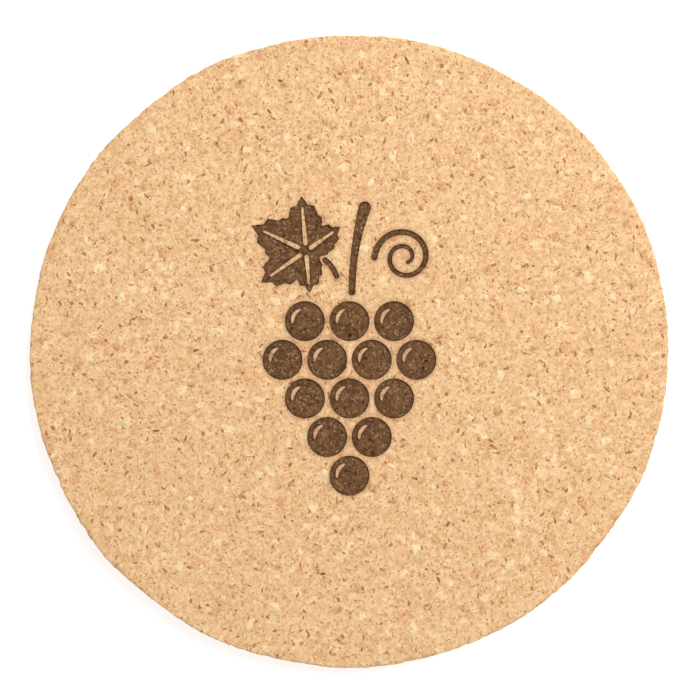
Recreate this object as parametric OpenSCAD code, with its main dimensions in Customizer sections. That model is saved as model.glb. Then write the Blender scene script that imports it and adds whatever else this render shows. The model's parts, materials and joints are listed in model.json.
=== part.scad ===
// Round cork coaster, cut from a pressed board of ground cork.
// The fine cork and its binder make one board. The coarse granules that show on the two
// sanded faces and on the cut rim are pieces of their own. Each fills, flush and face to
// face, the hollow that the board took when it was pressed round it.
// The coaster lies on the plane z = 0, with its axis on Z.

/* [Disc] */
// Diameter of the coaster
disc_d = 100; // [80:1:120]
// Thickness of the coaster
disc_t = 5; // [4:0.1:10]
// Radius that eases the two cut edges
edge_r = 0.4; // [0.2:0.1:0.8]

/* [Granules] */
// Mean distance from one coarse granule to the next
granule_pitch = 5; // [5:0.1:10]
// Length of the longest granule
granule_len_max = 2.4; // [1.8:0.1:3]
// Length of the shortest granule
granule_len_min = 1.3; // [1:0.1:1.7]
// Width of the broadest granule, as a share of its length
granule_broad = 0.85; // [0.7:0.05:1]
// Width of the slimmest granule, as a share of its length
granule_slim = 0.5; // [0.4:0.05:0.65]
// How far a granule reaches under the surface
granule_depth = 1.2; // [0.6:0.1:1.5]
// Least wall of fine cork between two granules
granule_wall = 0.3; // [0.2:0.05:0.5]

/* [Bark flecks] */
// Length of the longest fleck
fleck_len_max = 1.6; // [1.2:0.1:1.8]
// Length of the shortest fleck
fleck_len_min = 0.8; // [0.6:0.1:1.1]
// Width of a fleck
fleck_w = 0.4; // [0.3:0.05:0.6]
// How far a fleck reaches under the surface
fleck_depth = 0.6; // [0.4:0.1:1]

/* [Mix] */
// Share of pale granules, and what the three shares leave over is bark
pale_share = 0.3; // [0.15:0.05:0.35]
// Share of honey granules
honey_share = 0.25; // [0.15:0.05:0.3]
// Share of rust granules
rust_share = 0.15; // [0.1:0.05:0.2]
// Number that picks one scatter of the granules
grain_seed = 11; // [1:1:99]

/* [Hidden] */

// Facets round the disc, and round one eased edge
$fn = 360;
edge_fn = 32;

// Surfaces that granules show on
TOP = 0;
UNDER = 1;
RIM = 2;

// Kinds of granule, by colour
PALE = 0;
HONEY = 1;
RUST = 2;
BARK = 3;

// What is drawn by chance for each granule
SIZE = 1;
SLIMNESS = 2;
CORNERS = 3;
STRAY = 4;
CROSS_STRAY = 5;
TURN = 6;

board_colour = "#e6bd8e";
kind_colour = ["#f3dfb0", "#dba56c", "#b8704c", "#6a4833"];

disc_r = disc_d / 2;

// A blank for a hollow stands this far out of the surface that it cuts
cut_over = 1;

// Granules follow a sunflower spiral, whose nearest neighbours lie this share of the pitch apart
golden_angle = 180 * (3 - sqrt(5));
spiral_gap = 0.9;

// A granule may stray this far along X and along Y before it could touch the next
scatter = (granule_pitch * spiral_gap - granule_len_max - granule_wall) / sqrt(8);

// The granules of a face keep clear of those of the rim
face_r = disc_r - granule_depth - granule_wall - granule_len_max / 2 - scatter * sqrt(2);
face_count = floor(PI * pow(face_r / granule_pitch, 2));
rim_count = floor(PI * disc_d / granule_pitch);

// Along the rim a granule may stray this far to either side
rim_scatter = (granule_pitch - granule_len_max - granule_wall) / 2;

// Pressing lays the granules flat, so those in the rim lean this far at most
rim_lean = 25;

// A granule has one of these counts of corners, and a corner strays this share of the way to the next
corner_choices = [5, 6, 7];
corner_stray = 0.3;

// Steps of this length never come back to the same point, so they mix the kinds evenly
mix_step = sqrt(2);

// Each set of draws has a seed of its own
seeds_per_surface = 10;
seeds_per_scatter = 100;

// Draws between 0 and 1, one for each granule of a surface
function draws(surface, quality, count) =
    rands(0, 1, count, grain_seed * seeds_per_scatter + surface * seeds_per_surface + quality);

// The kinds follow each other in the shares asked for
function kind_at(i) =
    let (mix = i * mix_step % 1)
    mix < pale_share ? PALE
    : mix < pale_share + honey_share ? HONEY
    : mix < pale_share + honey_share + rust_share ? RUST
    : BARK;

function between(low, high, draw) = low + (high - low) * draw;

function depth_of(kind) = kind == BARK ? fleck_depth : granule_depth;

// Form of each granule on a surface: kind, length, width, outline
function kind_of(form) = form[0];
function length_of(form) = form[1];
function width_of(form) = form[2];
function outline_of(form) = form[3];
function forms(surface, count) =
    let (
        size = draws(surface, SIZE, count),
        slimness = draws(surface, SLIMNESS, count),
        corners = draws(surface, CORNERS, count)
    )
    [for (i = [0 : count - 1])
        let (
            kind = kind_at(i),
            length = kind == BARK
                ? between(fleck_len_min, fleck_len_max, size[i])
                : between(granule_len_min, granule_len_max, size[i]),
            width = kind == BARK ? fleck_w : length * between(granule_slim, granule_broad, slimness[i])
        )
        [kind, length, width, outline(length, width, corners[i])]
    ];

// An uneven outline whose corners lie on an ellipse
function outline(length, width, draw) =
    let (
        count = corner_choices[floor(draw * len(corner_choices))],
        stray = rands(-corner_stray, corner_stray, count, draw * seeds_per_scatter)
    )
    [for (k = [0 : count - 1])
        let (a = 360 * (k + stray[k]) / count)
        [length / 2 * cos(a), width / 2 * sin(a)]
    ];

// Place of each granule on a face: x, y, turn
function places_on_face(surface) =
    let (
        stray_x = draws(surface, STRAY, face_count),
        stray_y = draws(surface, CROSS_STRAY, face_count),
        turn = draws(surface, TURN, face_count)
    )
    [for (i = [0 : face_count - 1])
        let (
            r = face_r * sqrt((i + 1) / face_count),
            a = i * golden_angle
        )
        [
            r * cos(a) + between(-scatter, scatter, stray_x[i]),
            r * sin(a) + between(-scatter, scatter, stray_y[i]),
            360 * turn[i]
        ]
    ];

// Place of each granule in the rim: angle round the disc, height, lean
function places_on_rim(granule_forms) =
    let (
        stray = draws(RIM, STRAY, rim_count),
        climb = draws(RIM, CROSS_STRAY, rim_count),
        lean = draws(RIM, TURN, rim_count)
    )
    [for (i = [0 : rim_count - 1])
        let (
            along = i * PI * disc_d / rim_count + between(-rim_scatter, rim_scatter, stray[i]),
            form = granule_forms[i],
            tilt = between(-rim_lean, rim_lean, lean[i]),
            half_h = norm([length_of(form) * sin(tilt), width_of(form) * cos(tilt)]) / 2,
            reach = max(0, disc_t / 2 - edge_r - granule_wall - half_h)
        )
        [360 * along / (PI * disc_d), disc_t / 2 + between(-reach, reach, climb[i]), tilt]
    ];

top_forms = forms(TOP, face_count);
top_places = places_on_face(TOP);
under_forms = forms(UNDER, face_count);
under_places = places_on_face(UNDER);
rim_forms = forms(RIM, rim_count);
rim_places = places_on_rim(rim_forms);

// The round board before the granules take their room: two sanded faces and an eased rim
module disc() {
    rotate_extrude() {
        square([disc_r - edge_r, disc_t]);
        translate([0, edge_r])
            square([disc_r, disc_t - 2 * edge_r]);
        for (z = [edge_r, disc_t - edge_r])
            translate([disc_r - edge_r, z])
                circle(edge_r, $fn = edge_fn);
    }
}

// A granule that reaches down from the plane z = 0, or a blank that also stands proud of it
module granule(form, proud = 0) {
    depth = depth_of(kind_of(form));
    translate([0, 0, -depth])
        linear_extrude(depth + proud)
            polygon(outline_of(form));
}

module place_on_top(place) {
    translate([place[0], place[1], disc_t])
        rotate(place[2])
            children();
}

module place_on_underside(place) {
    translate([place[0], place[1], 0])
        rotate([180, 0, place[2]])
            children();
}

module place_on_rim(place) {
    rotate(place[0])
        translate([disc_r, 0, place[1]])
            rotate([0, 90, 0])
                rotate(90 + place[2])
                    children();
}

module top_granules(kind, proud = 0) {
    for (i = [0 : face_count - 1])
        if (kind_of(top_forms[i]) == kind)
            place_on_top(top_places[i])
                granule(top_forms[i], proud);
}

module under_granules(kind, proud = 0) {
    for (i = [0 : face_count - 1])
        if (kind_of(under_forms[i]) == kind)
            place_on_underside(under_places[i])
                granule(under_forms[i], proud);
}

module rim_granules(kind, proud = 0) {
    for (i = [0 : rim_count - 1])
        if (kind_of(rim_forms[i]) == kind)
            place_on_rim(rim_places[i])
                granule(rim_forms[i], proud);
}

// The granules of the rim were cut through with the disc, so they end on its round side
module cut_rim_granules(kind) {
    intersection() {
        disc();
        rim_granules(kind, cut_over);
    }
}

module pressed_board() {
    color(board_colour)
    difference() {
        disc();
        for (kind = [PALE, HONEY, RUST, BARK]) {
            top_granules(kind, cut_over);
            under_granules(kind, cut_over);
            rim_granules(kind, cut_over);
        }
    }
}

module top_pale_granules() { color(kind_colour[PALE]) top_granules(PALE); }
module top_honey_granules() { color(kind_colour[HONEY]) top_granules(HONEY); }
module top_rust_granules() { color(kind_colour[RUST]) top_granules(RUST); }
module top_bark_flecks() { color(kind_colour[BARK]) top_granules(BARK); }

module under_pale_granules() { color(kind_colour[PALE]) under_granules(PALE); }
module under_honey_granules() { color(kind_colour[HONEY]) under_granules(HONEY); }
module under_rust_granules() { color(kind_colour[RUST]) under_granules(RUST); }
module under_bark_flecks() { color(kind_colour[BARK]) under_granules(BARK); }

module rim_pale_granules() { color(kind_colour[PALE]) cut_rim_granules(PALE); }
module rim_honey_granules() { color(kind_colour[HONEY]) cut_rim_granules(HONEY); }
module rim_rust_granules() { color(kind_colour[RUST]) cut_rim_granules(RUST); }
module rim_bark_flecks() { color(kind_colour[BARK]) cut_rim_granules(BARK); }

pressed_board();
top_pale_granules();
top_honey_granules();
top_rust_granules();
top_bark_flecks();
under_pale_granules();
under_honey_granules();
under_rust_granules();
under_bark_flecks();
rim_pale_granules();
rim_honey_granules();
rim_rust_granules();
rim_bark_flecks();
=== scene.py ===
# %% [markdown]
# # A round cork coaster
# The object is a flat disc cut from a board of pressed cork. Ground cork and a binder are squeezed
# into a block, the block is sliced and sanded, and a die cuts the round. A mark is burnt into the
# middle of the top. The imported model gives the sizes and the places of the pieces, so the lesson
# starts by loading it.

import json
import math

import bmesh
import bpy
import numpy as np
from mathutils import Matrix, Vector, kdtree, noise

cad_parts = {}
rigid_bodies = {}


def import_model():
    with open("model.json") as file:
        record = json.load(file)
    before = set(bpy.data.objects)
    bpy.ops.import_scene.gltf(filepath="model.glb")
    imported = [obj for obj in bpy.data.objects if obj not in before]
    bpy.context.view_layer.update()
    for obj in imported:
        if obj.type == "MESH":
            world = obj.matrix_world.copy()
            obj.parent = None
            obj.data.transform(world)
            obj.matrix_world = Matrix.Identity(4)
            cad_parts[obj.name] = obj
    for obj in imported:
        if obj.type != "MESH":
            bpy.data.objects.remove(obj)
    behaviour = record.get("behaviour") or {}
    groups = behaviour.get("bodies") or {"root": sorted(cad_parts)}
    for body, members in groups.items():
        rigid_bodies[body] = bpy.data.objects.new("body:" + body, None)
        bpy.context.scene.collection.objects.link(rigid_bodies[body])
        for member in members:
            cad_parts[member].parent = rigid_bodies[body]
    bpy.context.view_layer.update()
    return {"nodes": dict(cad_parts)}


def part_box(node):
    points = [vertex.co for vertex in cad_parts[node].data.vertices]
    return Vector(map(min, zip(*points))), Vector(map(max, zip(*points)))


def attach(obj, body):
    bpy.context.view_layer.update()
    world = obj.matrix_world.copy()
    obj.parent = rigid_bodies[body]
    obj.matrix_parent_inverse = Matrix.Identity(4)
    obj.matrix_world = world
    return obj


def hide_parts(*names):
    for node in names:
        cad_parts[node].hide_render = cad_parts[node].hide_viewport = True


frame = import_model()
MM = 0.001

board_low, board_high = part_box("pressed_board")
DISC_R = (board_high.x - board_low.x) / 2
DISC_T = board_high.z - board_low.z
print("disc radius and thickness in mm:", round(DISC_R / MM, 2), round(DISC_T / MM, 2))

# %% [markdown]
# ## Camera
# The photograph looks straight down. With a long lens the camera stands well above the disc, and
# the distance follows from how much of the picture the disc fills. Two small offsets put it where
# the photograph has it.

# %% Camera
IMAGE_PX = 700
DISC_R_PX = 318.7
DISC_CENTRE_PX = (349.4, 350.5)
LENS_MM = 85
SENSOR_MM = 36
CLIP_START = 0.01

pixel_size = DISC_R / DISC_R_PX
half_view = pixel_size * IMAGE_PX / 2
camera_height = DISC_T + half_view / (SENSOR_MM / 2 / LENS_MM)
camera_data = bpy.data.cameras.new("camera")
camera_data.lens = LENS_MM
camera_data.sensor_width = SENSOR_MM
camera_data.clip_start = CLIP_START
camera = bpy.data.objects.new("camera", camera_data)
camera.location = (
    (IMAGE_PX / 2 - DISC_CENTRE_PX[0]) * pixel_size,
    (DISC_CENTRE_PX[1] - IMAGE_PX / 2) * pixel_size,
    camera_height,
)
bpy.context.scene.collection.objects.link(camera)
bpy.context.scene.camera = camera
bpy.context.scene.view_settings.view_transform = "Standard"
print("camera height in mm:", round(camera_height / MM, 1))

# %% [markdown]
# ## Helpers for node trees
# Every material and node group below is built from nodes in code. One helper adds a node, sets its
# options and feeds its inputs, either with a plain value or with the socket of another node. The
# others add the kinds of node that are used most.

# %% Node helpers
SRGB_KNEE = 0.04045
SRGB_SLOPE = 12.92
SRGB_SHIFT = 0.055
SRGB_POWER = 2.4


def add_node(tree, kind, feeds=None, **options):
    """A new node. A feed is named by its socket, or numbered where the name is not the only one."""
    made = tree.nodes.new(kind)
    for name, value in options.items():
        setattr(made, name, value)
    for name, value in (feeds or {}).items():
        if isinstance(value, bpy.types.NodeSocket):
            tree.links.new(value, made.inputs[name])
        else:
            made.inputs[name].default_value = value
    return made


def maths(tree, operation, a, b=0.0, clamp=False):
    """The result of one operation on two values."""
    feeds = {0: a, 1: b}
    return add_node(tree, "ShaderNodeMath", feeds, operation=operation, use_clamp=clamp).outputs[0]


def remap(tree, value, low, high, to_low=0.0, to_high=1.0, smooth=True):
    """A value carried from one range to another, and kept inside it."""
    feeds = {"Value": value, "From Min": low, "From Max": high, "To Min": to_low, "To Max": to_high}
    kind = "SMOOTHSTEP" if smooth else "LINEAR"
    return add_node(tree, "ShaderNodeMapRange", feeds, interpolation_type=kind).outputs["Result"]


def srgb(red, green, blue):
    """A colour as an image shows it, from 0 to 255, as the linear colour that a shader takes."""
    def linear(c):
        c = c / 255
        return c / SRGB_SLOPE if c <= SRGB_KNEE else ((c + SRGB_SHIFT) / (1 + SRGB_SHIFT)) ** SRGB_POWER
    return (linear(red), linear(green), linear(blue), 1.0)


# %% [markdown]
# ## Light
# Soft white light from all round keeps the shadows faint, and one wide lamp at the upper right
# makes that side of the disc a little brighter, as in the photograph. The camera sees the world as
# plain white, while the light that it gives to the disc is weaker.

# %% Light
WHITE = (1.0, 1.0, 1.0, 1.0)
WORLD_LIGHT = 0.57
WORLD_SEEN = 1.0
LAMP_POWER = 2.55
LAMP_SIZE = 0.35
LAMP_PLACE = Vector((0.25, 0.27, 0.48))

world = bpy.data.worlds.new("studio")
world.use_nodes = True
sky = world.node_tree
sky.nodes.clear()
soft = add_node(sky, "ShaderNodeBackground", {"Color": WHITE, "Strength": WORLD_LIGHT})
white = add_node(sky, "ShaderNodeBackground", {"Color": WHITE, "Strength": WORLD_SEEN})
by_camera = add_node(sky, "ShaderNodeLightPath").outputs["Is Camera Ray"]
both = add_node(sky, "ShaderNodeMixShader", {0: by_camera, 1: soft.outputs[0], 2: white.outputs[0]})
add_node(sky, "ShaderNodeOutputWorld", {"Surface": both.outputs[0]})
bpy.context.scene.world = world

lamp_data = bpy.data.lights.new("window_light", "AREA")
lamp_data.shape = "DISK"
lamp_data.size = LAMP_SIZE
lamp_data.energy = LAMP_POWER
lamp = bpy.data.objects.new("window_light", lamp_data)
lamp.location = LAMP_PLACE
lamp.rotation_euler = (-LAMP_PLACE).to_track_quat("-Z", "Y").to_euler()
bpy.context.scene.collection.objects.link(lamp)
print("world light", WORLD_LIGHT, "lamp power", LAMP_POWER)

# %% [markdown]
# ## Floor
# The floor is pale and takes the shadow of the disc. For the camera it also glows a little, so that
# it comes out as white as the photograph's ground, and this glow sheds no light on the disc.

# %% Floor
FLOOR_SIZE = 6.0
FLOOR_GLOW = 0.5
FLOOR_GREY = 0.9

bm = bmesh.new()
bmesh.ops.create_grid(bm, x_segments=1, y_segments=1, size=FLOOR_SIZE / 2)
floor_mesh = bpy.data.meshes.new("floor")
bm.to_mesh(floor_mesh)
bm.free()
floor = bpy.data.objects.new("floor", floor_mesh)
bpy.context.scene.collection.objects.link(floor)

floor_paint = bpy.data.materials.new("floor_paint")
floor_paint.use_nodes = True
tree = floor_paint.node_tree
tree.nodes.clear()
matt = add_node(tree, "ShaderNodeBsdfDiffuse", {"Color": (FLOOR_GREY, FLOOR_GREY, FLOOR_GREY, 1.0)})
glow = add_node(tree, "ShaderNodeEmission", {"Color": WHITE, "Strength": FLOOR_GLOW})
lit = add_node(tree, "ShaderNodeAddShader", {0: matt.outputs[0], 1: glow.outputs[0]})
by_camera = add_node(tree, "ShaderNodeLightPath").outputs["Is Camera Ray"]
seen = add_node(tree, "ShaderNodeMixShader", {0: by_camera, 1: matt.outputs[0], 2: lit.outputs[0]})
add_node(tree, "ShaderNodeOutputMaterial", {"Surface": seen.outputs[0]})
floor_mesh.materials.append(floor_paint)
print("floor side in m:", FLOOR_SIZE)

# %% [markdown]
# ## Relief of pressed cork
# Sanding leaves each granule at its own height, with a fine crease where two granules meet and a
# pit where one broke out. A cell noise gives the granules: its nearest and second nearest points
# tell how far a place is from the next crease. The same function also says how much shade is painted
# into the colour of the creases and pits. It shapes the two faces, the rim and the floor of the burnt
# mark. The noise gets a fixed seed, because it takes one from the clock otherwise.

# %% Relief
NOISE_SEED = 23
GRANULE_MM = 1.1
GRANULE_RISE_MM = 0.035
GRANULE_DRAW = 7.3
CREASE_MM = 0.05
CREASE_WIDTH = 0.28
CREASE_PAINTED_SHADE = 0.35
PIT_MM = 2.6
PIT_DEEP_MM = 0.22
PIT_REACH = 0.2
PIT_LEAST = 0.4
PIT_DRAW = 5.1
PIT_SHIFT = Vector((3.1, 7.7, 1.9))
WARP_MM = 0.35
WARP_PER_MM = 1.3
noise.seed_set(NOISE_SEED)


def relief(place):
    """Height of the surface at a place, in metres, and how much shade is painted there, from 0 to 1."""
    p = place / MM
    p = p + noise.noise_vector(p * WARP_PER_MM) * WARP_MM
    reach, points = noise.voronoi(p / GRANULE_MM)
    crease = (1 - min((reach[1] - reach[0]) / CREASE_WIDTH, 1)) ** 2
    rise = (2 * noise.cell(points[0] * GRANULE_DRAW) - 1) * GRANULE_RISE_MM
    pit_reach, pit_points = noise.voronoi(p / PIT_MM + PIT_SHIFT)
    pit_size = PIT_REACH * (PIT_LEAST + (1 - PIT_LEAST) * noise.cell(pit_points[0] * PIT_DRAW))
    pit = max(0.0, 1 - (pit_reach[0] / pit_size) ** 2)
    height = rise - CREASE_MM * crease - PIT_DEEP_MM * pit
    # The second value is painted shade: how much the colour is darkened in the creases and pits.
    return height * MM, min(1.0, CREASE_PAINTED_SHADE * crease + pit)


print("relief at the middle in mm:", round(relief(Vector((0.0, 0.0, DISC_T)))[0] / MM, 3))

# %% [markdown]
# ## Fans and rim of the board
# The faces need small triangles of even size all over, because the relief moves their corners. A
# fan of six triangles is subdivided many times, and each six-sided ring of it is then rounded to a
# circle. The rim is a profile with two eased edges.

# %% Board helpers
EDGE_R = 0.4 * MM
FAN_SIDES = 6
EDGE_STEPS = 3
RIM_STEPS = 10


def rounded_fan(rings, radius, z):
    """A flat disc of even triangles, as a mesh. Ring k of the fan has six times k corners."""
    fan = bmesh.new()
    bmesh.ops.create_circle(fan, cap_ends=True, cap_tris=True, segments=FAN_SIDES, radius=radius)
    bmesh.ops.subdivide_edges(fan, edges=fan.edges[:], cuts=rings - 1, use_grid_fill=True)
    side = math.tau / FAN_SIDES
    first_corner = math.pi / 2
    for v in fan.verts:
        angle = (math.atan2(v.co.y, v.co.x) - first_corner) % math.tau
        sector = math.floor(angle / side)
        away = angle - (sector + 0.5) * side
        ring = v.co.to_2d().length * math.cos(away) / math.cos(side / 2)
        along = 0.5 + math.tan(away) / (2 * math.tan(side / 2))
        turned = first_corner + (sector + along) * side
        v.co = (ring * math.cos(turned), ring * math.sin(turned), z)
    mesh = bpy.data.meshes.new("fan")
    fan.to_mesh(mesh)
    fan.free()
    return mesh


def rim_profile():
    """Radius and height of the points down the rim: the upper edge, the straight side, the lower edge."""
    quarter = [math.pi / 2 * k / EDGE_STEPS for k in range(EDGE_STEPS + 1)]
    inner = DISC_R - EDGE_R
    upper = [(inner + EDGE_R * math.sin(a), DISC_T - EDGE_R + EDGE_R * math.cos(a)) for a in quarter]
    straight = DISC_T - 2 * EDGE_R
    side = [(DISC_R, DISC_T - EDGE_R - straight * k / RIM_STEPS) for k in range(1, RIM_STEPS)]
    lower = [(r, DISC_T - z) for r, z in reversed(upper)]
    return upper + side + lower


def open_loop(bm, known=()):
    """The corners of an open edge, apart from those known already, by their angle round the axis."""
    corners = [v for v in bm.verts if v.is_boundary and v not in known]
    step = math.tau / len(corners)
    return sorted(corners, key=lambda v: round(math.atan2(v.co.y, v.co.x) / step) % len(corners))


print("points down the rim:", len(rim_profile()))

# %% [markdown]
# ## The board blank
# The profile is spun round the axis, and a fan closes the top. A fan with half as many rings closes
# the underside, and a band of triangles joins it to the rim, two steps of the rim to one step of
# the fan. The bridge operator would twist two loops that differ in their count.

# %% Board blank
SAME_SPOT = 0.001 * MM
UNDER_RINGS = 56
TOP_RINGS = 2 * UNDER_RINGS
UNDER_INSET = 0.7 * MM
CM3 = 1e-6

bm = bmesh.new()
line = [bm.verts.new((r, 0.0, z)) for r, z in rim_profile()]
steps = [bm.edges.new(pair) for pair in zip(line, line[1:])]
bmesh.ops.spin(bm, geom=line + steps, axis=(0, 0, 1), cent=(0, 0, 0), angle=math.tau,
               steps=FAN_SIDES * TOP_RINGS, use_merge=True)
bm.from_mesh(rounded_fan(TOP_RINGS, DISC_R - EDGE_R, DISC_T))
bmesh.ops.remove_doubles(bm, verts=bm.verts[:], dist=SAME_SPOT)
rim_loop = open_loop(bm)
bm.from_mesh(rounded_fan(UNDER_RINGS, DISC_R - EDGE_R - UNDER_INSET, 0.0))
fan_loop = open_loop(bm, set(rim_loop))
for k, corner in enumerate(fan_loop):
    after = fan_loop[(k + 1) % len(fan_loop)]
    first, middle, last = (rim_loop[(2 * k + n) % len(rim_loop)] for n in range(3))
    for triangle in ((corner, first, middle), (corner, middle, after), (after, middle, last)):
        bm.faces.new(triangle)
bmesh.ops.recalc_face_normals(bm, faces=bm.faces[:])
longest = max(e.calc_length() for e in bm.edges)
volume = bm.calc_volume(signed=True)
print("board faces:", len(bm.faces), "open edges:", sum(not e.is_manifold for e in bm.edges))
print("longest edge in mm:", round(longest / MM, 2), "volume in cm3:", round(volume / CM3, 2))

# %% [markdown]
# ## Crumbs and wander of the cut
# The die tore the rim. The cut wanders a little from the true circle, crumbs have broken out of the
# upper edge, and the disc has sprung slightly out of round since. The two functions here also serve
# the granules later, so that they move with the board.

# %% Cut edge
OUT_OF_ROUND = 0.0057
LONG_WAY = math.radians(8.5)
WANDER_MM = 0.35
WANDER_PER_MM = 0.09
CRUMB_SEED = 41
CRUMB_COUNT = 46
CRUMB_SIZES = (0.15, 0.6)
LARGEST_CRUMB = (-38.9, 1.0)

draw = np.random.default_rng(CRUMB_SEED)
crumb_turns = draw.uniform(0, 360, CRUMB_COUNT)
crumb_sizes = draw.uniform(*CRUMB_SIZES, CRUMB_COUNT)
crumbs = [LARGEST_CRUMB, *zip(crumb_turns, crumb_sizes)]
crumb_tree = kdtree.KDTree(len(crumbs))
for k, (angle, size) in enumerate(crumbs):
    turned = math.radians(angle)
    crumb_tree.insert((DISC_R * math.cos(turned), DISC_R * math.sin(turned), DISC_T), k)
crumb_tree.balance()


def sprung(place):
    """A place on the true disc, moved to where the sprung disc has it."""
    along = Vector((math.cos(LONG_WAY), math.sin(LONG_WAY), 0.0))
    across = Vector((-along.y, along.x, 0.0))
    return place + OUT_OF_ROUND * (along * place.dot(along) - across * place.dot(across))


def wander(place):
    """How far the cut runs outside the true circle, in metres."""
    return WANDER_MM * MM * noise.noise(place * WANDER_PER_MM / MM)


print("crumbs:", len(crumbs))

# %% [markdown]
# ## Relief on the board
# Each corner moves along its normal by the relief there, a little more on the torn rim than on the
# sanded faces. The underside is set back, so that its highest granules just touch the table. How
# much shade is painted into the creases and pits at a corner stays with it as an attribute, and the
# finish darkens the colour by that as painted shade. The bites of crumbs get painted shade too. The
# faces are split in triangles at the end, because a bent face with four corners can be read in two
# ways.

# %% Board relief
RIM_ROUGH = 1.1
WANDER_POWER = 6
CRUMB_DEEP_MM = 0.45
CRUMB_REACH_MM = 1.1
CRUMB_REACH_LEAST = 0.4
CRUMB_DIP = 0.8
CRUMB_PAINTED_SHADE = 0.6

# This attribute holds how much shade is painted into the colour at each corner.
hollow = bm.verts.layers.float.new("hollow")
bm.normal_update()
for v in bm.verts:
    height, v[hollow] = relief(v.co)
    outward = v.normal.to_2d().length
    height *= 1 + (RIM_ROUGH - 1) * outward
    height -= GRANULE_RISE_MM * MM * max(0.0, -v.normal.z)
    place = v.co + v.normal * height
    out = v.co.to_2d().length / DISC_R
    place += Vector((v.co.x, v.co.y, 0.0)).normalized() * wander(v.co) * out ** WANDER_POWER
    near, k, gap = crumb_tree.find(v.co)
    size = crumbs[k][1]
    bite_reach = CRUMB_REACH_MM * MM * (CRUMB_REACH_LEAST + (1 - CRUMB_REACH_LEAST) * size)
    bite = max(0.0, 1 - gap / bite_reach)
    inward = Vector((-near.x, -near.y, -DISC_R * CRUMB_DIP)).normalized()
    place += inward * (CRUMB_DEEP_MM * MM * size * bite)
    # Painted shade in the bite of a crumb, as in the pits.
    v[hollow] = min(1.0, v[hollow] + CRUMB_PAINTED_SHADE * bite * size)
    place = sprung(place)
    place.z = max(place.z, 0.0)
    v.co = place
bmesh.ops.triangulate(bm, faces=bm.faces[:])
board_mesh = bpy.data.meshes.new("pressed_board_cork")
bm.to_mesh(board_mesh)
bm.free()
board = bpy.data.objects.new("pressed_board_cork", board_mesh)
bpy.context.scene.collection.objects.link(board)
heights = [v.co.z for v in board_mesh.vertices]
print("board from", round(min(heights) / MM, 3), "to", round(max(heights) / MM, 3), "mm")

# %% [markdown]
# ## Strokes of the burnt mark
# A bunch of grapes with a leaf, an old ornament on table ware, is burnt into the middle. It is
# drawn with closed outlines in millimetres, and no two of them cross, so one cut can sink them all.
# Most of them are strokes: a line is moved to both sides by half its width, and the ends are closed
# with round caps.

# %% Strokes
CAP_STEPS = 7


def arc(centre, radius, start, stop, count):
    """Points along an arc, with its angles in radians."""
    turns = np.linspace(start, stop, count)
    return np.c_[centre[0] + radius * np.cos(turns), centre[1] + radius * np.sin(turns)]


def along_normal(points, shift):
    """A line moved sideways by a width, or by one width for each point."""
    way = np.gradient(points, axis=0)
    way = way / np.linalg.norm(way, axis=1, keepdims=True)
    return points + np.c_[-way[:, 1], way[:, 0]] * np.reshape(shift, (-1, 1))


def stroke(points, width):
    """Outline of a stroke with round ends. Its width may change along the line."""
    half = np.broadcast_to(np.asarray(width, float) / 2, len(points))
    left = along_normal(points, half)
    right = along_normal(points, -half)
    first = math.atan2(*(left[0] - points[0])[::-1])
    last = math.atan2(*(right[-1] - points[-1])[::-1])
    start_cap = arc(points[0], half[0], first, first + math.pi, CAP_STEPS)[1:-1]
    end_cap = arc(points[-1], half[-1], last, last + math.pi, CAP_STEPS)[1:-1]
    return np.concatenate([right, end_cap, left[::-1], start_cap])


# %% [markdown]
# ## Grapes
# The grapes are circles in rows that narrow downwards. In each a slim patch is left bare, like the
# light on a round berry. A patch is an outline inside an outline, so filling both leaves a hole
# there.

# %% Grapes
GRAPE_R_MM = 3.15
GRAPE_PITCH_MM = 7.0
GRAPE_ROWS = (3, 4, 3, 2, 1)
GRAPE_TOP_MM = 4.6
GRAPE_STEPS = 48
LIT_R = 0.62
LIT_TURNS = (math.radians(115), math.radians(185))
LIT_STEPS = 9
LIT_MM = 0.55
LIT_LEAST_MM = 0.05
LIT_SWELL = (0.5, 2.64)


def grapes():
    """Outlines of the grapes, each followed by that of its lit patch."""
    found = []
    lit_width = LIT_MM * np.sin(np.linspace(*LIT_SWELL, LIT_STEPS)) + LIT_LEAST_MM
    for row, count in enumerate(GRAPE_ROWS):
        y = GRAPE_TOP_MM - row * GRAPE_PITCH_MM * math.sin(math.pi / 3)
        for k in range(count):
            centre = ((k - (count - 1) / 2) * GRAPE_PITCH_MM, y)
            found.append(arc(centre, GRAPE_R_MM, 0, math.tau, GRAPE_STEPS + 1)[:-1])
            found.append(stroke(arc(centre, GRAPE_R_MM * LIT_R, *LIT_TURNS, LIT_STEPS), lit_width))
    return found


print("grapes and their lit patches:", len(grapes()))

# %% [markdown]
# ## Leaf
# The leaf has five pointed lobes with small teeth. Its edge is a radius that depends on the angle:
# the lobe that reaches furthest there, less a tooth. Five veins are left bare, and a short stalk
# stands off its foot.

# %% Leaf
LEAF_PLACE_MM = (-6.8, 15.6)
LEAF_R_MM = 9.4
LEAF_TURN = math.radians(155)
LOBES = ((0, 1.0), (60, 0.92), (-60, 0.92), (120, 0.7), (-120, 0.7))
LOBE_SLOPE = 0.62
TEETH = 24
TOOTH_STEPS = 4
TOOTH_DEEP = 0.09
VEIN_MM = (0.7, 0.35)
VEIN_RUN = (0.14, 0.78)
VEIN_STEPS = 7
STALK_MM = 0.9
STALK_START_MM = 3.3
STALK_STEP_MM = 0.58
STALK_BEND = 0.05
STALK_STEPS = 6


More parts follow.
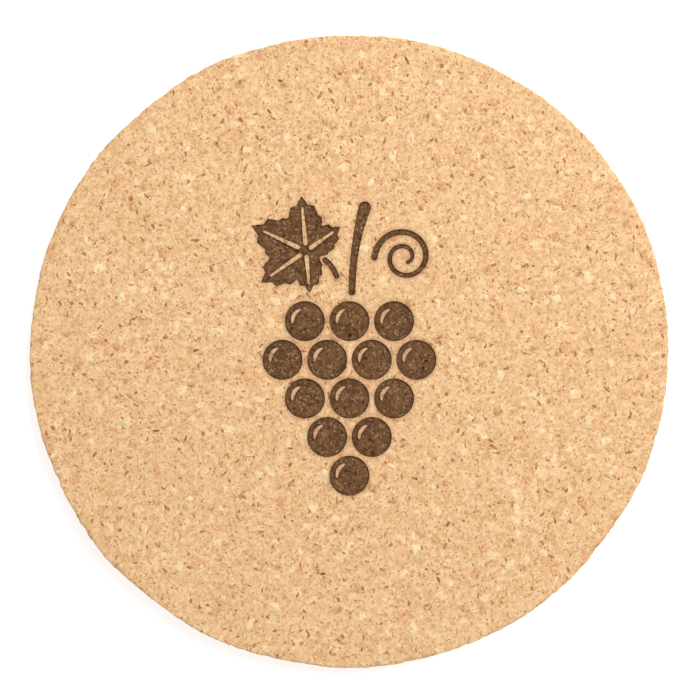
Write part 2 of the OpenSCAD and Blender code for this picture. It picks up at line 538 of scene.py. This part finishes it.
def leaf_edge(turn):
    """Radius of the leaf at a turn from its tip: the longest lobe that reaches there, with teeth."""
    reach = 0.0
    for angle, length in LOBES:
        away = abs((turn - math.radians(angle) + math.pi) % math.tau - math.pi)
        reach = max(reach, length * (1 - LOBE_SLOPE * away))
    tooth = 1 - abs(2 * ((turn / math.tau * TEETH) % 1) - 1)
    return LEAF_R_MM * reach * (1 - TOOTH_DEEP * tooth)


def on_leaf(turn, reach):
    """A point of the leaf, from its turn off the tip and its distance in mm."""
    turned = turn + LEAF_TURN
    return np.array((math.cos(turned), math.sin(turned))) * reach + LEAF_PLACE_MM


def leaf():
    """Outlines of the leaf, of the veins that are left bare in it, and of its stalk."""
    edge_steps = TOOTH_STEPS * TEETH
    turns = [math.tau * k / edge_steps for k in range(edge_steps)]
    found = [np.array([on_leaf(turn, leaf_edge(turn)) for turn in turns])]
    for angle, length in LOBES:
        turn = math.radians(angle)
        run = np.linspace(*VEIN_RUN, VEIN_STEPS)
        vein = np.array([on_leaf(turn, LEAF_R_MM * length * share) for share in run])
        found.append(stroke(vein, np.linspace(*VEIN_MM, VEIN_STEPS)))
    stalk = []
    for k in range(STALK_STEPS):
        stalk.append(on_leaf(math.pi - STALK_BEND * k, STALK_START_MM + STALK_STEP_MM * k))
    found.append(stroke(np.array(stalk), STALK_MM))
    return found


print("leaf, veins and stalk:", len(leaf()))

# %% [markdown]
# ## Stem and tendril
# The stem is a bent stroke, thicker where it was cut from the vine. The tendril is a thin stroke
# that winds inwards and tapers.

# %% Stem and tendril
STEM_MM = 1.5
STEM_SWELL = (0.75, 0.6)
STEM_FOOT_MM = (0.4, 9.2)
STEM_RUN_MM = (2.0, 13.2)
STEM_STEPS = 17
TENDRIL_MM = 1.0
TENDRIL_TAPER = 0.4
TENDRIL_PLACE_MM = (8.6, 14.6)
TENDRIL_R_MM = 4.7
TENDRIL_CLOSING = 0.8
TENDRIL_TURN = 3.3 * math.pi
TENDRIL_PACE = 1.15
TENDRIL_STEPS = 90


def stem():
    """Outline of the stem."""
    rise = np.linspace(0, 1, STEM_STEPS)
    line = np.c_[STEM_FOOT_MM[0] + STEM_RUN_MM[0] * rise ** 2, STEM_FOOT_MM[1] + STEM_RUN_MM[1] * rise]
    return [stroke(line, STEM_MM * (STEM_SWELL[0] + STEM_SWELL[1] * rise ** 3))]


def tendril():
    """Outline of the tendril."""
    run = np.linspace(0, 1, TENDRIL_STEPS)
    curl = math.pi - TENDRIL_TURN * run ** TENDRIL_PACE
    radius = TENDRIL_R_MM * (1 - TENDRIL_CLOSING * run)
    line = np.c_[TENDRIL_PLACE_MM[0] + radius * np.cos(curl), TENDRIL_PLACE_MM[1] + radius * np.sin(curl)]
    return [stroke(line, TENDRIL_MM * (1 - TENDRIL_TAPER * run))]


mark_lines = grapes() + leaf() + stem() + tendril()
all_points = np.concatenate(mark_lines)
print("outlines of the mark:", len(mark_lines))
print("mark in mm:", np.round(all_points.min(0), 1), "to", np.round(all_points.max(0), 1))

# %% [markdown]
# ## Helpers for cuts
# A Boolean modifier cuts one closed mesh with another. Its result is split in triangles, since a
# face with many corners that is bent can be read in two ways. Corners that almost meet are merged,
# so that no needle of a triangle is left without area.

# %% Cut helpers
NEEDLE = 0.0001 * MM


def object_of(bm, name):
    """A new object from a bmesh, which is freed."""
    mesh = bpy.data.meshes.new(name)
    bm.to_mesh(mesh)
    bm.free()
    made = bpy.data.objects.new(name, mesh)
    bpy.context.scene.collection.objects.link(made)
    return made


def carved(target, tool, operation):
    """The mesh that a Boolean of two objects leaves, in triangles."""
    cut = target.modifiers.new("cut", "BOOLEAN")
    cut.operation = operation
    cut.solver = "MANIFOLD"
    cut.material_mode = "TRANSFER"
    cut.object = tool
    bpy.context.view_layer.update()
    result = target.evaluated_get(bpy.context.evaluated_depsgraph_get())
    mesh = bpy.data.meshes.new_from_object(result)
    target.modifiers.remove(cut)
    bm = bmesh.new()
    bm.from_mesh(mesh)
    bmesh.ops.triangulate(bm, faces=bm.faces[:])
    bmesh.ops.remove_doubles(bm, verts=bm.verts[:], dist=NEEDLE)
    print("odd edges after a cut:", sum(not e.is_manifold for e in bm.edges))
    bm.to_mesh(mesh)
    bm.free()
    return mesh


def pulled_verts(bm):
    """The corners of all faces after they are pulled off, so that the faces become a block."""
    pulled = bmesh.ops.extrude_face_region(bm, geom=bm.faces[:])["geom"]
    return [v for v in pulled if isinstance(v, bmesh.types.BMVert)]


# %% [markdown]
# ## Cutter of the mark
# Burning takes a thin layer of cork away. The outlines are filled and pulled up to a block. A slab
# whose underside has the relief of cork then gives the block a rough floor: only what lies in both
# is kept.

# %% Mark cutter
MARK_DEEP = 0.28 * MM
MARK_ROUGH = 1.4
CUT_OVER = 1.0 * MM
SLAB_STEPS = 130

bm = bmesh.new()
for line in mark_lines:
    loop = [bm.verts.new((x * MM, y * MM, DISC_T - CUT_OVER)) for x, y in line]
    for pair in zip(loop, loop[1:] + loop[:1]):
        bm.edges.new(pair)
bmesh.ops.triangle_fill(bm, use_beauty=True, edges=bm.edges[:], normal=(0, 0, 1))
bmesh.ops.translate(bm, verts=pulled_verts(bm), vec=(0, 0, 2 * CUT_OVER))
bmesh.ops.recalc_face_normals(bm, faces=bm.faces[:])
print("cutter faces:", len(bm.faces), "open edges:", sum(not e.is_manifold for e in bm.edges))
cutter = object_of(bm, "mark_cutter")

bm = bmesh.new()
reach = float(np.abs(all_points).max()) * MM + CUT_OVER
bmesh.ops.create_grid(bm, x_segments=SLAB_STEPS, y_segments=SLAB_STEPS, size=reach)
for v in bm.verts:
    v.co.z = DISC_T - MARK_DEEP + MARK_ROUGH * relief(Vector((v.co.x, v.co.y, DISC_T)))[0]
for v in pulled_verts(bm):
    v.co.z = DISC_T + CUT_OVER / 2
bmesh.ops.triangulate(bm, faces=bm.faces[:])
bmesh.ops.recalc_face_normals(bm, faces=bm.faces[:])
slab = object_of(bm, "mark_slab")
cutter.data = carved(cutter, slab, "INTERSECT")
print("cutter with a rough floor:", len(cutter.data.polygons), "faces")

# %% [markdown]
# ## Helpers for patterns
# The pattern of cork needs a few more kinds of node: vector maths, mixed colours, cells and noise.
# Sizes are given in millimetres, so that they can be compared with the real granules.

# %% Pattern helpers
MIX_A = 6
MIX_B = 7
MIX_RESULT = 2


def vector_maths(tree, operation, a, b):
    """The result of one operation on two vectors."""
    return add_node(tree, "ShaderNodeVectorMath", {0: a, 1: b}, operation=operation).outputs["Vector"]


def scaled(tree, vector, factor):
    """A vector made longer by a factor."""
    feeds = {0: vector, "Scale": factor}
    return add_node(tree, "ShaderNodeVectorMath", feeds, operation="SCALE").outputs["Vector"]


def mixed(tree, factor, a, b, kind="MIX"):
    """Two colours mixed. The sockets of a Mix node share their names, so they are numbered."""
    feeds = {"Factor": factor, MIX_A: a, MIX_B: b}
    return add_node(tree, "ShaderNodeMix", feeds, data_type="RGBA", blend_type=kind).outputs[MIX_RESULT]


def split(tree, colour):
    """The three parts of a colour, which serve as three draws for a cell."""
    return add_node(tree, "ShaderNodeSeparateColor", {"Color": colour}).outputs


def voronoi(tree, place, size_mm, feature="F1"):
    """Cells of about one size."""
    feeds = {"Vector": place, "Scale": 1 / size_mm}
    return add_node(tree, "ShaderNodeTexVoronoi", feeds, feature=feature)


def noise_at(tree, place, per_mm, detail=1.0):
    """Noise with about so many swings to a millimetre."""
    feeds = {"Vector": place, "Scale": per_mm, "Detail": detail}
    return add_node(tree, "ShaderNodeTexNoise", feeds)


# %% [markdown]
# ## Flakes of bark
# Dark flakes of bark lie between the granules. Each cell of a pattern holds one at most: an
# ellipsoid that is turned at random and fades towards its edge. They are rather compact, because
# cork is ground fine, and they come in three sizes.

# %% Flakes
FLECK_FADE = (1.0, 0.6)
FLECK_LAYERS = (
    {"cell_mm": 1.9, "radii_mm": (0.66, 0.4, 0.2), "share": 0.9, "shades": (0.3, 1.15)},
    {"cell_mm": 1.15, "radii_mm": (0.42, 0.32, 0.19), "share": 0.85, "shades": (0.25, 1.0)},
    {"cell_mm": 0.75, "radii_mm": (0.26, 0.21, 0.16), "share": 0.6, "shades": (0.25, 0.9)},
)


def fleck_mask(tree, place, cell_mm, radii_mm, share, shades):
    """Flakes strewn in space at all angles, as a mask that is 0 between them."""
    cells = voronoi(tree, place, cell_mm)
    away = vector_maths(tree, "SUBTRACT", place, cells.outputs["Position"])
    feeds = {"Vector": away, "Rotation": scaled(tree, cells.outputs["Color"], math.tau)}
    turned = add_node(tree, "ShaderNodeVectorRotate", feeds, rotation_type="EULER_XYZ").outputs["Vector"]
    flake = vector_maths(tree, "DIVIDE", turned, radii_mm)
    length = add_node(tree, "ShaderNodeVectorMath", {0: flake}, operation="LENGTH").outputs["Value"]
    inside = remap(tree, length, *FLECK_FADE)
    drawn = split(tree, cells.outputs["Color"])["Blue"]
    strength = remap(tree, drawn, 1 - share, 1.0, *shades, smooth=False)
    chosen = maths(tree, "GREATER_THAN", drawn, 1 - share)
    return maths(tree, "MULTIPLY", maths(tree, "MULTIPLY", inside, strength), chosen)


# %% [markdown]
# ## Cork grain as a node group
# Cork is one material in many shades. Looked at closely it is a mosaic of granules, each with its
# own tone, a few of them pale or reddish. All of it is worked out in space, so the pattern runs on
# from the top face over the edge and down the rim, as it does in a block that was cut. The group
# takes the colours of one kind of cork and gives its pattern of colour, its roughness and its fine
# relief. First come its sockets, the bent space that keeps the cells from looking drawn with a
# ruler, and the cells themselves.

# %% Grain cells
FINE_MM = 0.29
MID_MM = 0.7
CHIP_MM = 1.15
BEND_PER_MM = 1.3
CELL_BEND_MM = 0.9
FLECK_BEND_MM = 0.55
FRAY_PER_MM = 3.4
FRAY_MM = 0.3
MICRO_PER_MM = 5.2
DRIFT_PER_MM = 0.16
FINE_DETAIL = 2.0
NOISE_MIDDLE = (0.5, 0.5, 0.5)

grain = bpy.data.node_groups.new("cork_grain", "ShaderNodeTree")
grain.interface.new_socket("Place", in_out="INPUT", socket_type="NodeSocketVector")
for name in ("Light", "Dark", "Warm", "Chip", "Tint Of Flecks And Shade"):
    grain.interface.new_socket(name, in_out="INPUT", socket_type="NodeSocketColor")
for name in ("Chip Share", "Warm Share", "Speck Share", "Strength Of Flecks And Shade", "Painted Hollow Shade"):
    grain.interface.new_socket(name, in_out="INPUT", socket_type="NodeSocketFloat")
grain.interface.new_socket("Color", in_out="OUTPUT", socket_type="NodeSocketColor")
grain.interface.new_socket("Roughness", in_out="OUTPUT", socket_type="NodeSocketFloat")
grain.interface.new_socket("Height", in_out="OUTPUT", socket_type="NodeSocketFloat")

given = add_node(grain, "NodeGroupInput").outputs
bend_noise = noise_at(grain, given["Place"], BEND_PER_MM, FINE_DETAIL).outputs["Color"]
bend = vector_maths(grain, "SUBTRACT", bend_noise, NOISE_MIDDLE)
fray_noise = noise_at(grain, given["Place"], FRAY_PER_MM).outputs["Color"]
fray = vector_maths(grain, "SUBTRACT", fray_noise, NOISE_MIDDLE)
bent = vector_maths(grain, "ADD", given["Place"], scaled(grain, bend, CELL_BEND_MM))
curled = vector_maths(grain, "ADD", given["Place"], scaled(grain, bend, FLECK_BEND_MM))
curled = vector_maths(grain, "ADD", curled, scaled(grain, fray, FRAY_MM))

drawn = split(grain, voronoi(grain, bent, CHIP_MM).outputs["Color"])
mid_drawn = split(grain, voronoi(grain, bent, MID_MM).outputs["Color"])
fine_drawn = split(grain, voronoi(grain, bent, FINE_MM).outputs["Color"])
seam = voronoi(grain, bent, CHIP_MM, "DISTANCE_TO_EDGE").outputs["Distance"]
micro = noise_at(grain, given["Place"], MICRO_PER_MM, FINE_DETAIL).outputs["Fac"]
drift = noise_at(grain, given["Place"], DRIFT_PER_MM, FINE_DETAIL).outputs["Fac"]
print("nodes for the cells:", len(grain.nodes))

# %% [markdown]
# ## Colours of the grain
# The shade between dark and light cork is a sum of draws, from the coarse cells to the finest
# noise. On top come the reddish granules, the pale chips and small pale specks. The noise keeps
# each of them uneven.

# %% Grain colours
SHADE_START = -0.22
SHADE_PARTS = (
    (drawn["Red"], 0.12),
    (mid_drawn["Red"], 0.2),
    (fine_drawn["Red"], 0.45),
    (micro, 0.6),
    (drift, 0.14),
)
WARM_NOISE = (0.3, 0.7)
WARM_BY = (0.3, 0.9)
CHIP_NOISE = (0.25, 0.75)
CHIP_BY = (0.5, 1.0)
SPECK_NOISE = (0.35, 0.65)

shade = SHADE_START
for part, weight in SHADE_PARTS:
    shade = maths(grain, "ADD", maths(grain, "MULTIPLY", part, weight), shade)
shade = maths(grain, "ADD", shade, 0.0, clamp=True)
colour = mixed(grain, shade, given["Dark"], given["Light"])

is_warm = maths(grain, "LESS_THAN", drawn["Green"], given["Warm Share"])
warm_by = maths(grain, "MULTIPLY", is_warm, remap(grain, micro, *WARM_NOISE, *WARM_BY))
colour = mixed(grain, warm_by, colour, given["Warm"])
is_chip = maths(grain, "LESS_THAN", drawn["Blue"], given["Chip Share"])
chip_by = maths(grain, "MULTIPLY", is_chip, remap(grain, micro, *CHIP_NOISE, *CHIP_BY))
is_speck = maths(grain, "LESS_THAN", fine_drawn["Blue"], given["Speck Share"])
speck_by = maths(grain, "MULTIPLY", is_speck, remap(grain, micro, *SPECK_NOISE))
chip_by = maths(grain, "MAXIMUM", chip_by, speck_by)
colour = mixed(grain, chip_by, colour, given["Chip"])
print("nodes with the colours:", len(grain.nodes))

# %% [markdown]
# ## Dark parts, painted shade and relief of the grain
# The flakes of bark and patches of grit are dark. Parts of the creases and the hollows of the mesh
# get painted shade. The strongest of them counts. The fleck colour is a tint that multiplies the
# cork below it, for the flecks and the painted shade alike. The strength is its exponent, so faint
# flecks come out brown and strong ones nearly black. Dark parts also lie a little deeper.

# %% Grain dark parts
CREASE_SEAM = (0.07, 0.0)
CREASE_PER_MM = 1.1
CREASE_NOISE = (0.5, 0.7)
CREASE_SHADE_BY = 0.45
GRIT_PER_MM = 2.3
GRIT_NOISE = (0.54, 0.72)
GRIT_BY = (0.0, 0.35)
HOLLOW_SHADE_BY = 0.6
FINE_HEIGHT = 0.5
MICRO_HEIGHT = 0.8
DARK_HEIGHT = 0.8
HEIGHT_RANGE = (0.0, 1.2)
ROUGHNESS = (0.95, 0.8)

# Painted shade along parts of the crevices between granules: the crease mask darkens the colour there.
crease_noise = noise_at(grain, bent, CREASE_PER_MM).outputs["Fac"]
crease_by = remap(grain, crease_noise, *CREASE_NOISE)
crease = maths(grain, "MULTIPLY", remap(grain, seam, *CREASE_SEAM), crease_by)
grit_noise = noise_at(grain, bent, GRIT_PER_MM, FINE_DETAIL).outputs["Fac"]
dark_parts = [fleck_mask(grain, curled, **layer) for layer in FLECK_LAYERS]
dark_parts.append(maths(grain, "MULTIPLY", crease, CREASE_SHADE_BY))
dark_parts.append(remap(grain, grit_noise, *GRIT_NOISE, *GRIT_BY))
# Painted shade in the creases, pits and crumbs of the mesh, from its corner attribute.
dark_parts.append(maths(grain, "MULTIPLY", given["Painted Hollow Shade"], HOLLOW_SHADE_BY))
dark_by = dark_parts[0]
for part in dark_parts[1:]:
    dark_by = maths(grain, "MAXIMUM", dark_by, part)
# One strength scales the bark flecks and the painted shade of creases and hollows alike.
dark_by = maths(grain, "MULTIPLY", dark_by, given["Strength Of Flecks And Shade"])
tint = add_node(grain, "ShaderNodeGamma", {"Color": given["Tint Of Flecks And Shade"], "Gamma": dark_by}).outputs["Color"]
colour = mixed(grain, 1.0, colour, tint, "MULTIPLY")

fine_height = maths(grain, "MULTIPLY", fine_drawn["Green"], FINE_HEIGHT)
height = maths(grain, "ADD", fine_height, maths(grain, "MULTIPLY", micro, MICRO_HEIGHT))
height = maths(grain, "SUBTRACT", height, maths(grain, "MULTIPLY", dark_by, DARK_HEIGHT))
rough = remap(grain, height, *HEIGHT_RANGE, *ROUGHNESS)
add_node(grain, "NodeGroupOutput", {"Color": colour, "Roughness": rough, "Height": height})
print("grain nodes:", len(grain.nodes))

# %% [markdown]
# ## The cork finishes
# Every finish is the same grain with other colours: the fine cork of the board, the three kinds of
# chip, the bark, and the cork that was burnt. Where the iron stood, the heat also browned the rim
# of the mark, and an attribute that is painted on the corners later says how near they are to it.

# %% Material maker
BUMP_M = 0.025 * MM
BUMP_STRENGTH = 1.0
GLOSS = 0.2


def cork_material(name, looks, scorch_to, scorch_by):
    """One finish of cork, from its inputs to the grain and the colour that heat turns it to."""
    made = bpy.data.materials.new(name + "_finish")
    made.use_nodes = True
    tree = made.node_tree
    tree.nodes.clear()
    spot = add_node(tree, "ShaderNodeTexCoord").outputs["Object"]
    # This attribute holds how much shade is painted into creases, pits and crumbs.
    hollow = add_node(tree, "ShaderNodeAttribute", attribute_name="hollow").outputs["Fac"]
    scorch = add_node(tree, "ShaderNodeAttribute", attribute_name="scorch").outputs["Fac"]
    feeds = {"Place": scaled(tree, spot, 1 / MM), "Painted Hollow Shade": hollow, **looks}
    pattern = add_node(tree, "ShaderNodeGroup", feeds, node_tree=grain).outputs
    browned = mixed(tree, maths(tree, "MULTIPLY", scorch, scorch_by), pattern["Color"], scorch_to)
    bumps = {"Height": pattern["Height"], "Distance": BUMP_M, "Strength": BUMP_STRENGTH}
    bump = add_node(tree, "ShaderNodeBump", bumps)
    cork = add_node(tree, "ShaderNodeBsdfPrincipled", {
        "Base Color": browned, "Roughness": pattern["Roughness"],
        "Normal": bump.outputs["Normal"], "Specular IOR Level": GLOSS,
    })
    add_node(tree, "ShaderNodeOutputMaterial", {"Surface": cork.outputs[0]})
    return made


# %% [markdown]
# ## Shades of each finish
# The table gives the inputs of the grain for each finish. A share says how many cells of a kind are
# taken: 0.03 is three in a hundred. A granule is a chip of one shade, so its flecks and its painted
# shade are fainter than the board's.

# %% Materials
WARM = srgb(230, 172, 128)
CHIP = srgb(254, 224, 176)
BARK = srgb(122, 76, 38)
ASH = srgb(174, 137, 102)
# Tint of the bark flecks and of the painted shade in creases and hollows.
FLECK_AND_SHADE_TINT = (0.36, 0.26, 0.14, 1.0)
# Tint of the charred flecks and of the painted shade in the burnt mark.
CHAR_AND_SHADE_TINT = (0.3, 0.26, 0.22, 1.0)
SCORCHED = (srgb(150, 104, 66), 0.55)
CHARRED = (srgb(78, 52, 34), 0.5)
LOOKS = {
    "pressed_cork": {
        "Light": srgb(255, 220, 173), "Dark": srgb(224, 168, 119),
        "Warm": WARM, "Warm Share": 0.04, "Chip": CHIP, "Chip Share": 0.03, "Speck Share": 0.07,
        "Tint Of Flecks And Shade": FLECK_AND_SHADE_TINT, "Strength Of Flecks And Shade": 1.0,
    },
    "pale_cork": {
        "Light": srgb(255, 229, 184), "Dark": srgb(236, 192, 143),
        "Warm": CHIP, "Warm Share": 0.0, "Chip": CHIP, "Chip Share": 0.2, "Speck Share": 0.1,
        "Tint Of Flecks And Shade": FLECK_AND_SHADE_TINT, "Strength Of Flecks And Shade": 0.5,
    },
    "honey_cork": {
        "Light": srgb(248, 208, 156), "Dark": srgb(214, 158, 106),
        "Warm": WARM, "Warm Share": 0.2, "Chip": CHIP, "Chip Share": 0.0, "Speck Share": 0.05,
        "Tint Of Flecks And Shade": FLECK_AND_SHADE_TINT, "Strength Of Flecks And Shade": 0.7,
    },
    "rust_cork": {
        "Light": srgb(244, 197, 152), "Dark": srgb(207, 147, 101),
        "Warm": WARM, "Warm Share": 0.2, "Chip": WARM, "Chip Share": 0.0, "Speck Share": 0.05,
        "Tint Of Flecks And Shade": FLECK_AND_SHADE_TINT, "Strength Of Flecks And Shade": 0.8,
    },
    "cork_bark": {
        "Light": srgb(216, 166, 112), "Dark": srgb(140, 94, 54),
        "Warm": BARK, "Warm Share": 0.2, "Chip": BARK, "Chip Share": 0.0, "Speck Share": 0.0,
        "Tint Of Flecks And Shade": FLECK_AND_SHADE_TINT, "Strength Of Flecks And Shade": 0.4,
    },
    "burnt_cork": {
        "Light": srgb(145, 103, 66), "Dark": srgb(36, 20, 8),
        "Warm": srgb(96, 66, 42), "Warm Share": 0.06, "Chip": ASH, "Chip Share": 0.0, "Speck Share": 0.13,
        "Tint Of Flecks And Shade": CHAR_AND_SHADE_TINT, "Strength Of Flecks And Shade": 0.95,
    },
}
finishes = {}
for name, looks in LOOKS.items():
    finishes[name] = cork_material(name, looks, *(CHARRED if name == "burnt_cork" else SCORCHED))
print("finishes:", ", ".join(finishes))

# %% [markdown]
# ## Chips and flecks
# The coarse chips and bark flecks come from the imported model, whose granules are plain prisms. The
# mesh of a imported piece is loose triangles, so a copy of it is merged first, and flat faces are
# joined. Then each edge along the surface gets a corner in its middle, and a noise moves the
# corners sideways to a ragged outline.

# %% Granule outlines
SAME_PLANE = math.radians(2)
ALONG = 0.5
SHOWN_DEPTH = 0.25 * MM
RAGGED_MM = 0.16
RAGGED_PER_MM = 1.4


def outward_of(side, place):
    """The direction out of the surface that a granule shows on."""
    if side == "rim":
        return Vector((place.x, place.y, 0.0)).normalized()
    return Vector((0.0, 0.0, 1.0 if side == "top" else -1.0))


def on_surface(side, place):
    """The point of the true surface above a place inside a granule."""
    if side == "rim":
        out = outward_of(side, place) * DISC_R
        return Vector((out.x, out.y, place.z))
    return Vector((place.x, place.y, DISC_T if side == "top" else 0.0))


def shows(side, v):
    """Whether a corner lies in the surface, not at the buried end."""
    return (on_surface(side, v.co) - v.co).length < SHOWN_DEPTH


def runs_along(side, edge):
    """Whether an edge runs along the surface, not into the board."""
    start, end = (v.co for v in edge.verts)
    return abs((start - end).normalized().dot(outward_of(side, start))) < ALONG


def granule_mesh(node, side):
    """The granules of one node with ragged outlines, as a bmesh."""
    bm = bmesh.new()
    bm.from_mesh(frame["nodes"][node].data)
    bmesh.ops.remove_doubles(bm, verts=bm.verts[:], dist=SAME_SPOT)
    bmesh.ops.dissolve_limit(bm, angle_limit=SAME_PLANE, verts=bm.verts[:], edges=bm.edges[:])
    bmesh.ops.subdivide_edges(bm, edges=[e for e in bm.edges if runs_along(side, e)], cuts=1)
    for v in bm.verts:
        above = on_surface(side, v.co)
        stray = noise.noise_vector(above * RAGGED_PER_MM / MM) * RAGGED_MM * MM
        out = outward_of(side, v.co)
        v.co += stray - out * stray.dot(out)
    return bm


# %% [markdown]
# ## Sanded granules and their pockets
# Each granule gets a rounded upper corner and its own height, since sanding stops at a slightly
# other level on hard and soft cork. Those of the underside are set back with the board. A second
# copy that stands out of the surface is kept to sink the pocket in the board.

# %% Granule pieces
KINDS = {
    "pale_granules": "pale_cork",
    "honey_granules": "honey_cork",
    "rust_granules": "rust_cork",
    "bark_flecks": "cork_bark",
}
SIDES = ("top", "under", "rim")
SET_BACK_MM = {"top": 0.0, "under": 0.045, "rim": 0.0}
CORNER_MM = 0.07
PROUD_MM = 0.015
PROUD_SPREAD_MM = 0.03
PROUD_PER_MM = 0.45
POCKET_OVER = 0.8 * MM


def pocket_mesh(granule, side):
    """A copy of the granules that stands out of the surface."""
    blank = granule.copy()
    for v in blank.verts:
        if shows(side, v):
            v.co += outward_of(side, v.co) * POCKET_OVER
        v.co = sprung(v.co)
    mesh = bpy.data.meshes.new("pockets")
    blank.to_mesh(mesh)
    blank.free()
    return mesh


def is_brim(side, edge):
    """Whether an edge lies in the surface, at the top of a wall of its granule."""
    out = outward_of(side, edge.verts[0].co)
    has_wall = any(abs(f.normal.dot(out)) < ALONG for f in edge.link_faces)
    return has_wall and all(shows(side, v) for v in edge.verts)


def sand(bm, side):
    """Rounds the upper corners of the granules and puts each at its own height."""
    brims = [e for e in bm.edges if is_brim(side, e)]
    bmesh.ops.bevel(bm, geom=brims, offset=CORNER_MM * MM, offset_type="OFFSET", affect="EDGES", segments=1,
                    profile=0.5, material=-1)
    bmesh.ops.remove_doubles(bm, verts=bm.verts[:], dist=SAME_SPOT)
    for v in bm.verts:
        if shows(side, v):
            out = outward_of(side, v.co)
            above = on_surface(side, v.co)
            lift = PROUD_MM + PROUD_SPREAD_MM * noise.noise(above * PROUD_PER_MM / MM) - SET_BACK_MM[side]
            v.co += out * lift * MM
            if side == "rim":
                v.co += out * wander(above)
        v.co = sprung(v.co)
    bmesh.ops.triangulate(bm, faces=bm.faces[:])


pocket_bm = bmesh.new()
granules = {}
for side in SIDES:
    for kind, finish in KINDS.items():
        node = f"{side}_{kind}"
        bm = granule_mesh(node, side)
        pocket_bm.from_mesh(pocket_mesh(bm, side))
        sand(bm, side)
        granules[node] = object_of(bm, node + "_cork")
        granules[node].data.materials.append(finishes[finish])
bmesh.ops.recalc_face_normals(pocket_bm, faces=pocket_bm.faces[:])
print("pocket faces:", len(pocket_bm.faces), "open edges:", sum(not e.is_manifold for e in pocket_bm.edges))
pockets = object_of(pocket_bm, "pockets")
print("granule faces:", sum(len(piece.data.polygons) for piece in granules.values()))

# %% [markdown]
# ## Cutting pockets and mark
# The board loses the pockets of the granules, and then the mark is sunk in the board and in the
# granules of the top face alike, as the iron would. The faces that the mark leaves take the burnt
# finish from the cutter.

# %% Cuts
board.data.materials.append(finishes["pressed_cork"])
pockets.data.materials.append(finishes["pressed_cork"])
cutter.data.materials.clear()
cutter.data.materials.append(finishes["burnt_cork"])
board.data = carved(board, pockets, "DIFFERENCE")
board.data = carved(board, cutter, "DIFFERENCE")
for node, piece in granules.items():
    if node.startswith("top_"):
        piece.data = carved(piece, cutter, "DIFFERENCE")
for tool in (pockets, cutter, slab):
    bpy.data.objects.remove(tool)
print("board triangles:", len(board.data.polygons), [m.name for m in board.data.materials])

# %% [markdown]
# ## Scorched rim of the mark
# The nearness of every corner to the outline of the mark is kept as an attribute, which the
# finishes turn to brown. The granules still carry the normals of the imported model, which no longer
# fit their shape. They are dropped, and smooth shading takes their place, apart from edges that are
# sharp.

# %% Scorch
SCORCH_MM = 0.55
SHARP = math.radians(50)
OLD_NORMALS = "custom_normal"

scorch_points = [Vector((x * MM, y * MM, DISC_T)) for line in mark_lines for x, y in line]
scorch_tree = kdtree.KDTree(len(scorch_points))
for k, point in enumerate(scorch_points):
    scorch_tree.insert(point, k)
scorch_tree.balance()
for piece in (board, *granules.values()):
    scorch = piece.data.attributes.new("scorch", "FLOAT", "POINT")
    for v, cell in zip(piece.data.vertices, scorch.data):
        if v.co.z > DISC_T - 2 * MARK_DEEP:
            gap = scorch_tree.find((v.co.x, v.co.y, DISC_T))[2]
            cell.value = max(0.0, 1 - gap / (SCORCH_MM * MM))
    if OLD_NORMALS in piece.data.attributes:
        piece.data.attributes.remove(piece.data.attributes[OLD_NORMALS])
    piece.data.shade_smooth()
    piece.data.set_sharp_from_angle(angle=SHARP)
board_scorch = board.data.attributes["scorch"].data
print("scorched corners of the board:", sum(cell.value > 0 for cell in board_scorch))

# %% [markdown]
# ## Flat map of the board
# Cork needs no map to be painted here, but a model that is baked to an image does. The top face
# takes most of the map, the underside a smaller disc, and the rim is cut in eight strips that lie
# one over the other.

# %% Map
TOP_MAP = (0.36, 0.36, 0.715)
UNDER_MAP = (0.777, 0.777, 0.43)
STRIPS = 8
STRIP_PLACE = (0.735, 0.01)
STRIP_WIDTH = 0.26
STRIP_HEIGHT = 0.033
STRIP_PITCH = 0.04
RIM_BAND = 2.0 * MM
STEEP = 0.6

strip_turn = math.tau / STRIPS
flat_map = board.data.uv_layers.new(name="OFBake")
for face in board.data.polygons:
    inside = face.center.to_2d().length < DISC_R - RIM_BAND
    turn = math.atan2(face.center.y, face.center.x) % math.tau
    strip = int(turn / strip_turn)
    u, v, width = TOP_MAP if face.center.z > DISC_T / 2 else UNDER_MAP
    for loop in face.loop_indices:
        corner = board.data.vertices[board.data.loops[loop].vertex_index].co
        if inside or abs(face.normal.z) > STEEP:
            spot = (u + corner.x / (2 * DISC_R) * width, v + corner.y / (2 * DISC_R) * width)
        else:
            away = (math.atan2(corner.y, corner.x) - turn + math.pi) % math.tau - math.pi
            along = (turn + away) / strip_turn - strip
            up = strip * STRIP_PITCH + corner.z / DISC_T * STRIP_HEIGHT
            spot = (STRIP_PLACE[0] + along * STRIP_WIDTH, STRIP_PLACE[1] + up)
        flat_map.data[loop].uv = spot
print("map corners:", len(flat_map.data))

# %% [markdown]
# ## Onto the frame
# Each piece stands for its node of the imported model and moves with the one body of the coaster.

# %% Frame
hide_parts("pressed_board")
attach(board, "root")
for side in SIDES:
    for kind, finish in KINDS.items():
        piece = granules[f"{side}_{kind}"]
        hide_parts(f"{side}_{kind}")
        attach(piece, "root")
print("pieces on the body:", 1 + len(granules))
